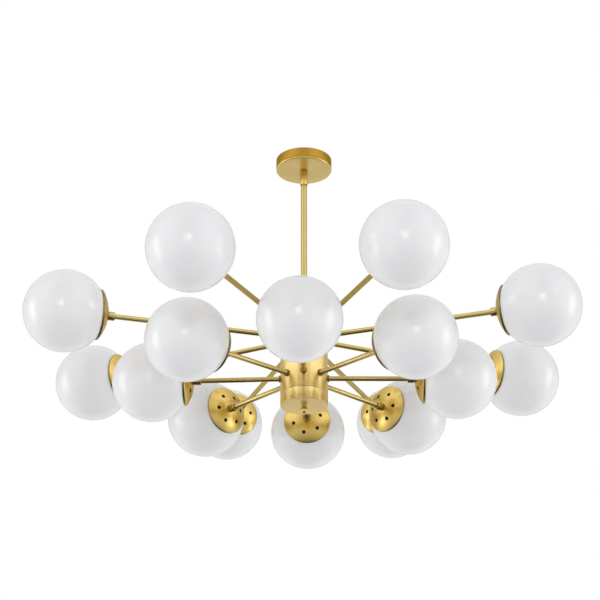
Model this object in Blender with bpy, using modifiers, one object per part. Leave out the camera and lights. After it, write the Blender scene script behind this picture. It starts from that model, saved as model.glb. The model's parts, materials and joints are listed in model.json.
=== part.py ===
"""Globe chandelier with sixteen straight arms in two tiers.

Units are metres and +Z is up. The origin is the centre of the ceiling bracket's top face, so the whole
lamp hangs below z = 0. Every arm has its own empty on the lamp's axis: the empty's local +Z points
outwards along the arm and its local +Y points up. The arms hang a little below the horizontal under their
globes. A turned profile is a list of (radius, z) points that runs down the outer side, from the top to
the bottom.
"""
import math

import bmesh
import bpy
from mathutils import Matrix, Vector

# Clearance between pieces that touch on the real lamp
GAP = 0.0003

# Ceiling bracket
BRACKET_LENGTH = 0.092
BRACKET_WIDTH = 0.024
BRACKET_THICKNESS = 0.003
BRACKET_CORNER = 0.003
BRACKET_HOLE_OFFSET = 0.039
BRACKET_HOLE_RADIUS = 0.00275
CABLE_HOLE_OFFSET = 0.022
CABLE_HOLE_RADIUS = 0.0045
BOSS_RADIUS = 0.010
BOSS_HEIGHT = 0.008
BOSS_BORE_DEPTH = 0.007

# Terminal block, hung under the bracket beside the boss
BLOCK_SIZE = (0.020, 0.016, 0.012)
BLOCK_CENTRE_X = 0.0225
BLOCK_WIRE_HOLE_RADIUS = 0.002
BLOCK_WIRE_HOLE_PITCH = 0.006

# Canopy and its collar
CANOPY_RADIUS = 0.055
CANOPY_HEIGHT = 0.023
CANOPY_WALL = 0.0015
CANOPY_EDGE = 0.002
CANOPY_CEILING_GAP = 0.0005
COLLAR_RADIUS = 0.0075
COLLAR_LENGTH = 0.0325
COLLAR_CHAMFER = 0.0007
SLIDING_CLEARANCE = 0.00045
COLLAR_SCREW_DEPTH = 0.016
COLLAR_SCREW_RADIUS = 0.0015
COLLAR_SCREW_HEAD_RADIUS = 0.0026
COLLAR_SCREW_HEAD_HEIGHT = 0.002

# Down rod
ROD_RADIUS = 0.006
ROD_THREAD_RADIUS = 0.005
ROD_BORE_RADIUS = 0.0035
ROD_WIRE_HOLE_RADIUS = 0.0018
NUT_ACROSS_CORNERS = 0.0196
LOCK_NUT_HEIGHT = 0.006

# Tiers of arms: heights at which the arm axes meet the lamp's axis, distance of the globe centres from
# there along the arm, and the angle by which the arm hangs below the horizontal
UPPER_TIER_Z = -0.386
TIER_SPACING = 0.081
UPPER_REACH = 0.461
LOWER_REACH = 0.285
UPPER_DROOP = math.radians(1.9)
LOWER_DROOP = math.radians(0.8)
ARMS_PER_TIER = 8

# Hub
HUB_RADIUS = 0.0445
HUB_WALL = 0.002
HUB_TOP_THICKNESS = 0.003
HUB_TOP_ABOVE_UPPER_TIER = 0.054
HUB_SEAM_BELOW_LOWER_TIER = 0.0315
HUB_BOTTOM_BELOW_LOWER_TIER = 0.055
HUB_CHAMFER = 0.0008
COVER_SPIGOT_HEIGHT = 0.005
COVER_FLOOR = 0.0025
COUPLING_LENGTH = 0.030
COUPLING_THREAD_DEPTH = 0.014
ROD_ENGAGEMENT = 0.012
COUPLING_WINDOW_RADIUS = 0.0028
COUPLING_WINDOW_DEPTH = 0.0155
STUD_RADIUS = 0.003
STUD_ENGAGEMENT = 0.010
FINIAL_BALL_RADIUS = 0.007
FINIAL_NECK_RADIUS = 0.0045
FINIAL_NECK_HEIGHT = 0.0025
FINIAL_BORE_DEPTH = 0.009

# Arms
ARM_RADIUS = 0.00475
ARM_BORE_RADIUS = 0.0034
ARM_COLLAR_RADIUS = 0.0073
ARM_COLLAR_LENGTH = 0.011
ARM_FLANGE_RADIUS = 0.0062
ARM_FLANGE_LENGTH = 0.0026
ARM_FLANGE_STANDOFF = 0.0005
ARM_NUT_RADIUS = 0.007
ARM_NUT_LENGTH = 0.0045
ARM_NUT_INSET = 0.0011
ARM_SPIGOT_LENGTH = 0.006

# Globes, caps and lampholders
GLOBE_RADIUS = 0.075
GLOBE_WALL = 0.002
GLOBE_NECK_RADIUS = 0.035
CAP_INNER_RADIUS = 0.0775
CAP_THICKNESS = 0.0012
CAP_RIM_RADIUS = 0.046
CAP_KNEE_RADIUS = 0.033
LAMPHOLDER_RADIUS = 0.0095
LAMPHOLDER_LENGTH = 0.022
SPIGOT_POCKET_DEPTH = 0.008
VENT_COUNT = 6
VENT_RADIUS = 0.003
VENT_PITCH_RADIUS = 0.0275

# How far some caps are turned on their arms; the others have a vent on each side at the height of the arm
VENT_TURN = {
    "upper_4": math.radians(4),
    "upper_5": math.radians(-4),
    "lower_4": math.radians(7.5),
    "lower_5": math.radians(-17),
    "lower_6": math.radians(-7.5),
}

# Facets round each turned piece
HUB_FACETS = 32
CANOPY_FACETS = 28
SMALL_FACETS = 14
ARM_FACETS = 10
CAP_FACETS = 12
GLOBE_FACETS = 14
GLOBE_RINGS = 6

MERGE_DISTANCE = 0.00001
SMOOTH_ANGLE = math.radians(40)

# Heights that follow from the driving dimensions
LOWER_TIER_Z = UPPER_TIER_Z - TIER_SPACING
BOSS_BOTTOM_Z = -BRACKET_THICKNESS - BOSS_HEIGHT
LOCK_NUT_TOP_Z = BOSS_BOTTOM_Z - GAP
LOCK_NUT_BOTTOM_Z = LOCK_NUT_TOP_Z - LOCK_NUT_HEIGHT
ROD_SHOULDER_Z = LOCK_NUT_BOTTOM_Z - GAP
CANOPY_TOP_Z = -CANOPY_CEILING_GAP
CANOPY_BOTTOM_Z = CANOPY_TOP_Z - CANOPY_HEIGHT
COLLAR_TOP_Z = CANOPY_BOTTOM_Z - GAP
HUB_TOP_Z = UPPER_TIER_Z + HUB_TOP_ABOVE_UPPER_TIER
HUB_SEAM_Z = LOWER_TIER_Z - HUB_SEAM_BELOW_LOWER_TIER
HUB_BOTTOM_Z = LOWER_TIER_Z - HUB_BOTTOM_BELOW_LOWER_TIER
COUPLING_TOP_Z = HUB_TOP_Z - HUB_TOP_THICKNESS - GAP
COUPLING_BOTTOM_Z = COUPLING_TOP_Z - COUPLING_LENGTH
CAP_OUTER_RADIUS = CAP_INNER_RADIUS + CAP_THICKNESS


# ---------------------------------------------------------------- tools

def clear_scene():
    for item in list(bpy.data.objects):
        bpy.data.objects.remove(item, do_unlink=True)


def new_collection(name):
    collection = bpy.data.collections.new(name)
    bpy.context.scene.collection.children.link(collection)
    return collection


def new_material(name, colour, roughness, metallic):
    material = bpy.data.materials.new(name)
    material.use_nodes = True
    shader = material.node_tree.nodes["Principled BSDF"]
    shader.inputs["Base Color"].default_value = (*colour, 1.0)
    shader.inputs["Roughness"].default_value = roughness
    shader.inputs["Metallic"].default_value = metallic
    return material


def new_object(name, mesh, material, collection, parent=None, location=(0, 0, 0), rotation=(0, 0, 0)):
    """Put a mesh in the scene under its own name, with the piece's own copy of the material."""
    item = bpy.data.objects.new(name, mesh)
    collection.objects.link(item)
    item.parent = parent
    item.location = location
    item.rotation_euler = rotation
    if material is not None:
        if not mesh.materials:
            mesh.materials.append(None)
        item.material_slots[0].link = "OBJECT"
        item.material_slots[0].material = material
    return item


def shade(mesh):
    mesh.shade_smooth()
    mesh.set_sharp_from_angle(angle=SMOOTH_ANGLE)


def turned(name, profile, facets, closed=True):
    """A piece turned about Z. A closed profile is a ring, an open one starts and ends on the axis."""
    mesh = bpy.data.meshes.new(name)
    points = [(radius, 0.0, z) for radius, z in profile]
    edges = [(i, i + 1) for i in range(len(points) - 1)]
    if closed:
        edges.append((len(points) - 1, 0))
    mesh.from_pydata(points, edges, [])
    item = bpy.data.objects.new(name, mesh)
    cutters.objects.link(item)
    screw = item.modifiers.new("turn", "SCREW")
    screw.axis = "Z"
    screw.angle = 2 * math.pi
    screw.steps = facets
    screw.render_steps = facets
    screw.use_merge_vertices = True
    screw.merge_threshold = MERGE_DISTANCE
    screw.use_smooth_shade = True
    return item


def cylinder_between(shape, start, end, radius, facets):
    """Add a closed cylinder to a bmesh, from one point to another."""
    start = Vector(start)
    end = Vector(end)
    along = end - start
    turn = Vector((0, 0, 1)).rotation_difference(along).to_matrix().to_4x4()
    place = Matrix.Translation((start + end) / 2) @ turn
    bmesh.ops.create_cone(shape, cap_ends=True, segments=facets, radius1=radius, radius2=radius,
                          depth=along.length, matrix=place)


def prism_object(name, build):
    """A working object whose mesh is filled by build(bmesh)."""
    shape = bmesh.new()
    build(shape)
    mesh = bpy.data.meshes.new(name)
    shape.to_mesh(mesh)
    shape.free()
    item = bpy.data.objects.new(name, mesh)
    cutters.objects.link(item)
    return item


def combine(item, other, operation):
    """Cut or join a working object with another one."""
    other.hide_render = True
    other.display_type = "WIRE"
    boolean = item.modifiers.new(operation.lower(), "BOOLEAN")
    boolean.operation = operation
    boolean.solver = "EXACT"
    boolean.object = other
    return item


def finished_mesh(item):
    """The working object's evaluated mesh, with its cutters used up and removed."""
    graph = bpy.context.evaluated_depsgraph_get()
    graph.update()
    mesh = bpy.data.meshes.new_from_object(item.evaluated_get(graph))
    mesh.name = item.name
    shade(mesh)
    used = [modifier.object for modifier in item.modifiers if modifier.type == "BOOLEAN"]
    for worked in [item, *used]:
        bpy.data.objects.remove(worked, do_unlink=True)
    return mesh


def arc(radius, start, end, steps):
    """Points (r, z) on a circle about the origin, with angles measured from +Z."""
    angles = [start + (end - start) * i / steps for i in range(steps + 1)]
    return [(radius * math.sin(angle), radius * math.cos(angle)) for angle in angles]


def on_sphere(radius, r):
    """Depth below the centre of the point at distance r from the axis, on a sphere's lower half."""
    return -math.sqrt(radius * radius - r * r)


# ---------------------------------------------------------------- ceiling end

def ceiling_bracket_mesh():
    def plate(shape):
        size = Matrix.Diagonal((BRACKET_LENGTH, BRACKET_WIDTH, BRACKET_THICKNESS, 1.0))
        place = Matrix.Translation((0, 0, -BRACKET_THICKNESS / 2))
        bmesh.ops.create_cube(shape, size=1.0, matrix=place @ size)
        upright = [edge for edge in shape.edges
                   if abs(edge.verts[0].co.z - edge.verts[1].co.z) > BRACKET_THICKNESS / 2]
        bmesh.ops.bevel(shape, geom=upright, offset=BRACKET_CORNER, segments=2, profile=0.5, affect="EDGES")

    def boss(shape):
        cylinder_between(shape, (0, 0, BOSS_BOTTOM_Z), (0, 0, -BRACKET_THICKNESS / 2), BOSS_RADIUS, SMALL_FACETS)

    def holes(shape):
        above = 2 * BRACKET_THICKNESS
        for x in (-BRACKET_HOLE_OFFSET, BRACKET_HOLE_OFFSET):
            cylinder_between(shape, (x, 0, -above), (x, 0, above), BRACKET_HOLE_RADIUS, SMALL_FACETS)
        cylinder_between(shape, (-CABLE_HOLE_OFFSET, 0, -above), (-CABLE_HOLE_OFFSET, 0, above),
                         CABLE_HOLE_RADIUS, SMALL_FACETS)
        cylinder_between(shape, (0, 0, BOSS_BOTTOM_Z - BRACKET_THICKNESS),
                         (0, 0, BOSS_BOTTOM_Z + BOSS_BORE_DEPTH), ROD_THREAD_RADIUS + GAP, SMALL_FACETS)

    item = prism_object("ceiling_bracket", plate)
    combine(item, prism_object("bracket_boss", boss), "UNION")
    combine(item, prism_object("bracket_holes", holes), "DIFFERENCE")
    return finished_mesh(item)


def terminal_block_mesh():
    top = -BRACKET_THICKNESS - GAP
    length, width, height = BLOCK_SIZE

    def body(shape):
        place = Matrix.Translation((BLOCK_CENTRE_X, 0, top - height / 2))
        bmesh.ops.create_cube(shape, size=1.0, matrix=place @ Matrix.Diagonal((*BLOCK_SIZE, 1.0)))

    def wire_holes(shape):
        for step in (-1, 0, 1):
            x = BLOCK_CENTRE_X + step * BLOCK_WIRE_HOLE_PITCH
            cylinder_between(shape, (x, -width, top - height / 2), (x, width, top - height / 2),
                             BLOCK_WIRE_HOLE_RADIUS, 8)

    item = prism_object("terminal_block", body)
    combine(item, prism_object("block_wire_holes", wire_holes), "DIFFERENCE")
    return finished_mesh(item)


def rod_lock_nut_mesh():
    def hexagon(shape):
        cylinder_between(shape, (0, 0, LOCK_NUT_BOTTOM_Z), (0, 0, LOCK_NUT_TOP_Z), NUT_ACROSS_CORNERS / 2, 6)

    def bore(shape):
        cylinder_between(shape, (0, 0, LOCK_NUT_BOTTOM_Z - LOCK_NUT_HEIGHT),
                         (0, 0, LOCK_NUT_TOP_Z + LOCK_NUT_HEIGHT), ROD_THREAD_RADIUS + GAP, SMALL_FACETS)

    item = prism_object("rod_lock_nut", hexagon)
    combine(item, prism_object("lock_nut_bore", bore), "DIFFERENCE")
    return finished_mesh(item)


def down_rod_mesh():
    top = BOSS_BOTTOM_Z + BOSS_BORE_DEPTH - GAP
    foot_shoulder = HUB_TOP_Z + GAP
    foot = COUPLING_TOP_Z - ROD_ENGAGEMENT
    profile = [
        (ROD_BORE_RADIUS, top),
        (ROD_THREAD_RADIUS, top),
        (ROD_THREAD_RADIUS, ROD_SHOULDER_Z),
        (ROD_RADIUS, ROD_SHOULDER_Z),
        (ROD_RADIUS, foot_shoulder),
        (ROD_THREAD_RADIUS, foot_shoulder),
        (ROD_THREAD_RADIUS, foot),
        (ROD_BORE_RADIUS, foot),
    ]
    hole_z = (ROD_SHOULDER_Z + CANOPY_BOTTOM_Z + CANOPY_WALL) / 2

    def wire_hole(shape):
        cylinder_between(shape, (0, 0, hole_z), (0, 2 * ROD_RADIUS, hole_z), ROD_WIRE_HOLE_RADIUS, 8)

    item = turned("down_rod", profile, SMALL_FACETS)
    combine(item, prism_object("rod_wire_hole", wire_hole), "DIFFERENCE")
    return finished_mesh(item)


def canopy_mesh():
    inner = CANOPY_RADIUS - CANOPY_WALL
    hole = ROD_RADIUS + SLIDING_CLEARANCE
    corner_r = CANOPY_RADIUS - CANOPY_EDGE
    corner_z = CANOPY_BOTTOM_Z + CANOPY_EDGE
    rounded = [(corner_r + r, corner_z + z) for r, z in arc(CANOPY_EDGE, math.pi / 2, math.pi, 3)]
    profile = [
        (inner, CANOPY_TOP_Z),
        (CANOPY_RADIUS, CANOPY_TOP_Z),
        *rounded,
        (hole, CANOPY_BOTTOM_Z),
        (hole, CANOPY_BOTTOM_Z + CANOPY_WALL),
        (inner, CANOPY_BOTTOM_Z + CANOPY_WALL),
    ]
    return finished_mesh(turned("canopy", profile, CANOPY_FACETS))


def canopy_collar_mesh():
    hole = ROD_RADIUS + SLIDING_CLEARANCE
    bottom = COLLAR_TOP_Z - COLLAR_LENGTH
    profile = [
        (hole, COLLAR_TOP_Z),
        (COLLAR_RADIUS, COLLAR_TOP_Z),
        (COLLAR_RADIUS, bottom + COLLAR_CHAMFER),
        (COLLAR_RADIUS - COLLAR_CHAMFER, bottom),
        (hole, bottom),
    ]
    screw_z = COLLAR_TOP_Z - COLLAR_SCREW_DEPTH

    def screw_hole(shape):
        cylinder_between(shape, (0, 0, screw_z), (0, 2 * COLLAR_RADIUS, screw_z), COLLAR_SCREW_RADIUS + GAP, 8)

    item = turned("canopy_collar", profile, SMALL_FACETS)
    combine(item, prism_object("collar_screw_hole", screw_hole), "DIFFERENCE")
    return finished_mesh(item)


def collar_screw_mesh():
    """The screw's profile is its own: z is measured from the rod's axis along the screw."""
    tip = ROD_RADIUS + SLIDING_CLEARANCE
    seat = COLLAR_RADIUS + GAP
    head = seat + COLLAR_SCREW_HEAD_HEIGHT
    profile = [
        (0, head),
        (COLLAR_SCREW_HEAD_RADIUS, head),
        (COLLAR_SCREW_HEAD_RADIUS, seat),
        (COLLAR_SCREW_RADIUS, seat),
        (COLLAR_SCREW_RADIUS, tip),
        (0, tip),
    ]
    return finished_mesh(turned("collar_screw", profile, 8, closed=False))


# ---------------------------------------------------------------- hub

def hub_body_mesh():
    inner = HUB_RADIUS - HUB_WALL
    hole = ROD_THREAD_RADIUS + GAP
    under = HUB_TOP_Z - HUB_TOP_THICKNESS
    profile = [
        (hole, HUB_TOP_Z),
        (HUB_RADIUS - HUB_CHAMFER, HUB_TOP_Z),
        (HUB_RADIUS, HUB_TOP_Z - HUB_CHAMFER),
        (HUB_RADIUS, HUB_SEAM_Z),
        (inner, HUB_SEAM_Z),
        (inner, under),
        (hole, under),
    ]

    def arm_holes(shape):
        for azimuth, z, (_, _, _, droop) in arm_places():
            level = math.cos(droop)
            out = Vector((level * math.sin(azimuth), -level * math.cos(azimuth), -math.sin(droop)))
            height = Vector((0, 0, z))
            cylinder_between(shape, out * (inner - 4 * HUB_WALL) + height, out * (HUB_RADIUS + HUB_WALL) + height,
                             ARM_RADIUS + GAP, ARM_FACETS)

    item = turned("hub_body", profile, HUB_FACETS)
    item.rotation_euler.z = math.pi / HUB_FACETS
    combine(item, prism_object("hub_arm_holes", arm_holes), "DIFFERENCE")
    return finished_mesh(item)


def hub_lower_cover_mesh():
    top = HUB_SEAM_Z - GAP
    spigot = HUB_RADIUS - HUB_WALL - SLIDING_CLEARANCE
    inner = spigot - HUB_WALL
    hole = STUD_RADIUS + GAP
    profile = [
        (inner, HUB_SEAM_Z + COVER_SPIGOT_HEIGHT),
        (spigot, HUB_SEAM_Z + COVER_SPIGOT_HEIGHT),
        (spigot, top),
        (HUB_RADIUS, top),
        (HUB_RADIUS, HUB_BOTTOM_Z + HUB_CHAMFER),
        (HUB_RADIUS - HUB_CHAMFER, HUB_BOTTOM_Z),
        (hole, HUB_BOTTOM_Z),
        (hole, HUB_BOTTOM_Z + COVER_FLOOR),
        (inner, HUB_BOTTOM_Z + COVER_FLOOR),
    ]
    return finished_mesh(turned("hub_lower_cover", profile, HUB_FACETS))


def hub_coupling_nut_mesh():
    window_z = COUPLING_TOP_Z - COUPLING_WINDOW_DEPTH

    def hexagon(shape):
        cylinder_between(shape, (0, 0, COUPLING_BOTTOM_Z), (0, 0, COUPLING_TOP_Z), NUT_ACROSS_CORNERS / 2, 6)

    def rod_bore(shape):
        cylinder_between(shape, (0, 0, COUPLING_TOP_Z - COUPLING_THREAD_DEPTH), (0, 0, COUPLING_TOP_Z + GAP * 10),
                         ROD_THREAD_RADIUS + GAP, SMALL_FACETS)

    def stud_bore(shape):
        cylinder_between(shape, (0, 0, COUPLING_BOTTOM_Z - GAP * 10), (0, 0, COUPLING_TOP_Z - ROD_ENGAGEMENT),
                         STUD_RADIUS + GAP, SMALL_FACETS)

    def window(shape):
        cylinder_between(shape, (0, 0, window_z), (0, NUT_ACROSS_CORNERS, window_z), COUPLING_WINDOW_RADIUS, 8)

    item = prism_object("hub_coupling_nut", hexagon)
    combine(item, prism_object("coupling_rod_bore", rod_bore), "DIFFERENCE")
    combine(item, prism_object("coupling_stud_bore", stud_bore), "DIFFERENCE")
    combine(item, prism_object("coupling_window", window), "DIFFERENCE")
    return finished_mesh(item)


def centre_stud_mesh():
    top = COUPLING_BOTTOM_Z + STUD_ENGAGEMENT
    foot = HUB_BOTTOM_Z - FINIAL_BORE_DEPTH + GAP
    profile = [(0, top), (STUD_RADIUS, top), (STUD_RADIUS, foot), (0, foot)]
    return finished_mesh(turned("centre_stud", profile, SMALL_FACETS, closed=False))


def bottom_finial_mesh():
    top = HUB_BOTTOM_Z - GAP
    bore = STUD_RADIUS + GAP
    bore_end = top - FINIAL_BORE_DEPTH
    shoulder = math.asin(FINIAL_NECK_RADIUS / FINIAL_BALL_RADIUS)
    ball_z = top - FINIAL_NECK_HEIGHT - FINIAL_BALL_RADIUS * math.cos(shoulder)
    ball = [(r, ball_z + z) for r, z in arc(FINIAL_BALL_RADIUS, shoulder, math.pi, 7)]
    profile = [(0, bore_end), (bore, bore_end), (bore, top), (FINIAL_NECK_RADIUS, top), *ball[:-1],
               (0, ball_z - FINIAL_BALL_RADIUS)]
    return finished_mesh(turned("bottom_finial", profile, SMALL_FACETS, closed=False))


# ---------------------------------------------------------------- arms, caps and globes

def arm_places():
    """Azimuth from -Y towards +X, height at the lamp's axis, and (tier, number, reach, droop) of every arm."""
    step = 2 * math.pi / ARMS_PER_TIER
    count = range(ARMS_PER_TIER)
    upper = [((i + 0.5) * step, UPPER_TIER_Z, ("upper", i + 1, UPPER_REACH, UPPER_DROOP)) for i in count]
    lower = [(i * step, LOWER_TIER_Z, ("lower", i + 1, LOWER_REACH, LOWER_DROOP)) for i in count]
    return upper + lower


def arm_mesh(tier, reach):
    """Tube with its lock nut inside the hub, its flange outside it, and the collar at the cap."""
    cap_back = reach - CAP_OUTER_RADIUS - GAP
    collar_start = cap_back - ARM_COLLAR_LENGTH
    wall = HUB_RADIUS * math.cos(math.pi / HUB_FACETS)
    flange = wall + ARM_FLANGE_STANDOFF
    nut = wall - HUB_WALL - ARM_NUT_INSET + GAP
    nut_end = nut - ARM_NUT_LENGTH
    profile = [
        (ARM_BORE_RADIUS, cap_back + ARM_SPIGOT_LENGTH),
        (ARM_RADIUS, cap_back + ARM_SPIGOT_LENGTH),
        (ARM_RADIUS, cap_back),
        (ARM_COLLAR_RADIUS, cap_back),
        (ARM_COLLAR_RADIUS, collar_start),
        (ARM_RADIUS, collar_start),
        (ARM_RADIUS, flange + ARM_FLANGE_LENGTH),
        (ARM_FLANGE_RADIUS, flange + ARM_FLANGE_LENGTH),
        (ARM_FLANGE_RADIUS, flange),
        (ARM_RADIUS, flange),
        (ARM_RADIUS, nut),
        (ARM_NUT_RADIUS, nut),
        (ARM_NUT_RADIUS, nut_end),
        (ARM_BORE_RADIUS, nut_end),
    ]
    return finished_mesh(turned("arm_" + tier, profile, ARM_FACETS))


def cap_mesh():
    """Vented dish with the lampholder on its inner side. Its origin is the globe's centre."""
    tip = -CAP_INNER_RADIUS + LAMPHOLDER_LENGTH
    pocket = ARM_RADIUS + GAP
    pocket_end = -CAP_OUTER_RADIUS + SPIGOT_POCKET_DEPTH
    rim_inside = CAP_RIM_RADIUS - CAP_THICKNESS / 2
    profile = [
        (0, tip),
        (LAMPHOLDER_RADIUS, tip),
        (LAMPHOLDER_RADIUS, on_sphere(CAP_INNER_RADIUS, LAMPHOLDER_RADIUS)),
        (CAP_KNEE_RADIUS, on_sphere(CAP_INNER_RADIUS, CAP_KNEE_RADIUS)),
        (rim_inside, on_sphere(CAP_INNER_RADIUS, rim_inside)),
        (CAP_RIM_RADIUS, on_sphere(CAP_OUTER_RADIUS, CAP_RIM_RADIUS)),
        (CAP_KNEE_RADIUS, on_sphere(CAP_OUTER_RADIUS, CAP_KNEE_RADIUS)),
        (pocket, on_sphere(CAP_OUTER_RADIUS, pocket)),
        (pocket, pocket_end),
        (0, pocket_end),
    ]

    def vents(shape):
        tilt = math.asin(VENT_PITCH_RADIUS / CAP_INNER_RADIUS)
        for i in range(VENT_COUNT):
            around = math.pi / CAP_FACETS + i * 2 * math.pi / VENT_COUNT
            out = Vector((math.sin(tilt) * math.cos(around), math.sin(tilt) * math.sin(around), -math.cos(tilt)))
            cylinder_between(shape, out * (CAP_INNER_RADIUS - 4 * CAP_THICKNESS),
                             out * (CAP_OUTER_RADIUS + 4 * CAP_THICKNESS), VENT_RADIUS, 6)

    item = turned("cap", profile, CAP_FACETS, closed=False)
    combine(item, prism_object("cap_vents", vents), "DIFFERENCE")
    return finished_mesh(item)


def globe_mesh():
    """Blown shell with its round mouth towards the hub. Its origin is its centre."""
    mouth = math.pi - math.asin(GLOBE_NECK_RADIUS / GLOBE_RADIUS)
    outside = arc(GLOBE_RADIUS, 0, mouth, GLOBE_RINGS)
    inside = arc(GLOBE_RADIUS - GLOBE_WALL, mouth, 0, GLOBE_RINGS)
    return finished_mesh(turned("globe", outside + inside, GLOBE_FACETS, closed=False))


def build_arm(tier, number, reach, droop, azimuth, z, meshes):
    """One arm with its cap and its globe, on an empty whose +Z points outwards."""
    axis = bpy.data.objects.new(f"axis_{tier}_{number}", None)
    parts.objects.link(axis)
    axis.empty_display_size = HUB_RADIUS
    axis.location = (0, 0, z)
    axis.rotation_euler = (math.pi / 2 + droop, 0, azimuth)
    turn = VENT_TURN.get(f"{tier}_{number}", 0.0) - math.pi / CAP_FACETS
    new_object(f"arm_{tier}_{number}", meshes["arm_" + tier], brass, parts, axis)
    new_object(f"cap_{tier}_{number}", meshes["cap"], cap_brass, parts, axis, (0, 0, reach), (0, 0, turn))
    new_object(f"globe_{tier}_{number}", meshes["globe"], opal_glass, parts, axis, (0, 0, reach))


# ---------------------------------------------------------------- the chandelier

clear_scene()
parts = new_collection("globe_chandelier")
cutters = new_collection("working_shapes")

brass = new_material("polished_brass", (0.76, 0.58, 0.28), 0.28, 1.0)
hub_brass = new_material("brushed_brass", (0.74, 0.56, 0.27), 0.34, 1.0)
cap_brass = new_material("cap_brass", (0.78, 0.60, 0.28), 0.26, 1.0)
steel = new_material("zinc_plated_steel", (0.62, 0.63, 0.65), 0.38, 1.0)
opal_glass = new_material("opal_glass", (0.92, 0.92, 0.91), 0.18, 0.0)
ceramic = new_material("white_ceramic", (0.88, 0.87, 0.83), 0.45, 0.0)

new_object("ceiling_bracket", ceiling_bracket_mesh(), steel, parts)
new_object("terminal_block", terminal_block_mesh(), ceramic, parts)
new_object("rod_lock_nut", rod_lock_nut_mesh(), steel, parts)
new_object("down_rod", down_rod_mesh(), brass, parts)
new_object("canopy", canopy_mesh(), brass, parts)
new_object("canopy_collar", canopy_collar_mesh(), brass, parts)
new_object("collar_screw", collar_screw_mesh(), brass, parts, None,
           (0, 0, COLLAR_TOP_Z - COLLAR_SCREW_DEPTH), (-math.pi / 2, 0, 0))
new_object("hub_body", hub_body_mesh(), hub_brass, parts, None, (0, 0, 0), (0, 0, math.pi / HUB_FACETS))
new_object("hub_lower_cover", hub_lower_cover_mesh(), hub_brass, parts, None, (0, 0, 0),
           (0, 0, math.pi / HUB_FACETS))
new_object("hub_coupling_nut", hub_coupling_nut_mesh(), steel, parts)
new_object("centre_stud", centre_stud_mesh(), steel, parts)
new_object("bottom_finial", bottom_finial_mesh(), brass, parts)

shared = {
    "arm_upper": arm_mesh("upper", UPPER_REACH),
    "arm_lower": arm_mesh("lower", LOWER_REACH),
    "cap": cap_mesh(),
    "globe": globe_mesh(),
}
for azimuth, z, (tier, number, reach, droop) in arm_places():
    build_arm(tier, number, reach, droop, azimuth, z, shared)
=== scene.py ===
"""Looks of the sixteen-arm globe chandelier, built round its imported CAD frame. Metres, +Z up."""

import json
import math

import bmesh
import bpy
from mathutils import Matrix, Vector


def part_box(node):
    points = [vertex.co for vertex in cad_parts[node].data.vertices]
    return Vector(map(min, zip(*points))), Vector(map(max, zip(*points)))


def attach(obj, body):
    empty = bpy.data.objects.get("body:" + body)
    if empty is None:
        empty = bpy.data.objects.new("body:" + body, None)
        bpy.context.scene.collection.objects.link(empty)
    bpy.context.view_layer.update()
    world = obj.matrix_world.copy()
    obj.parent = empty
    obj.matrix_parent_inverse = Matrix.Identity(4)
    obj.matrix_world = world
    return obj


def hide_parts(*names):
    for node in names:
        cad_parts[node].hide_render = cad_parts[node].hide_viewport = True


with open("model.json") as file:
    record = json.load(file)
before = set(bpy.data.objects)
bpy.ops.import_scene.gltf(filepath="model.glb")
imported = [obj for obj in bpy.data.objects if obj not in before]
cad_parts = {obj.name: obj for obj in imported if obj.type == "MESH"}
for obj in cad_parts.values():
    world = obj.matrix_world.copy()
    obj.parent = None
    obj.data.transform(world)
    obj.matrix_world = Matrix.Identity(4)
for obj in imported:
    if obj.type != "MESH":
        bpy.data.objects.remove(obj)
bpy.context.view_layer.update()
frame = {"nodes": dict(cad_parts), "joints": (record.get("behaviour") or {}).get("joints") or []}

MM = 0.001

# Camera, in front of the lamp and below it
CAMERA_AZIMUTH = math.radians(1.5)
CAMERA_DISTANCE = 2.772
CAMERA_HEIGHT = -1.568
CAMERA_PITCH = math.radians(24.49)
CAMERA_YAW = math.radians(0.16)
CAMERA_LENS = 95.4
SENSOR_WIDTH = 36.0

# Gap between parts that meet, and the radius that breaks a sharp corner on small turned parts
GAP = 0.3 * MM
BROKEN_EDGE = 0.35 * MM

# Sizes that the faceted CAD boxes do not state exactly
CANOPY_RADIUS = 55.0 * MM
CANOPY_WALL = 1.5 * MM
CANOPY_BORE = 6.45 * MM
ROD_RADIUS = 6.0 * MM
ROD_THREAD_RADIUS = 5.0 * MM
HUB_RADIUS = 44.5 * MM
HUB_WALL = 2.0 * MM
GLOBE_RADIUS = 75.0 * MM
GLOBE_WALL = 2.0 * MM
MOUTH_RADIUS = 35.0 * MM
CAP_INNER_RADIUS = 77.5 * MM
CAP_THICKNESS = 1.2 * MM
CAP_RIM_RADIUS = 46.0 * MM
CAP_OUTER_RADIUS = CAP_INNER_RADIUS + CAP_THICKNESS
ARM_RADIUS = 4.75 * MM
ARM_BORE = 3.4 * MM
COLLAR_RADIUS = 8.1 * MM
COLLAR_LENGTH = 12.8 * MM
FLANGE_RADIUS = 6.6 * MM
FLANGE_LENGTH = 2.6 * MM
ARM_NUT_RADIUS = 7.0 * MM
ARM_NUT_LENGTH = 4.5 * MM

# Dished plate behind the vents, which carries the globe's clips
PLATE_RADIUS = 76.2 * MM
PLATE_THICKNESS = 0.6 * MM
PLATE_HOLE = 9.8 * MM
PLATE_RIM = 32.5 * MM

# Lampholder behind each cap, and the capsule lamp that stands in it
HOLDER_RADIUS = 9.5 * MM
HOLDER_LENGTH = 22.0 * MM
LAMP_RADIUS = 7.0 * MM
LAMP_LENGTH = 36.0 * MM

# Vents of the caps; the caps at the back sit a little turned on their arms
VENT_COUNT = 6
VENT_RADIUS = 3.8 * MM
VENT_PITCH_RADIUS = 27.5 * MM
VENT_TURN = {
    "upper_4": math.radians(4),
    "upper_5": math.radians(-4),
    "lower_4": math.radians(7.5),
    "lower_5": math.radians(-17),
    "lower_6": math.radians(-7.5),
}

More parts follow.
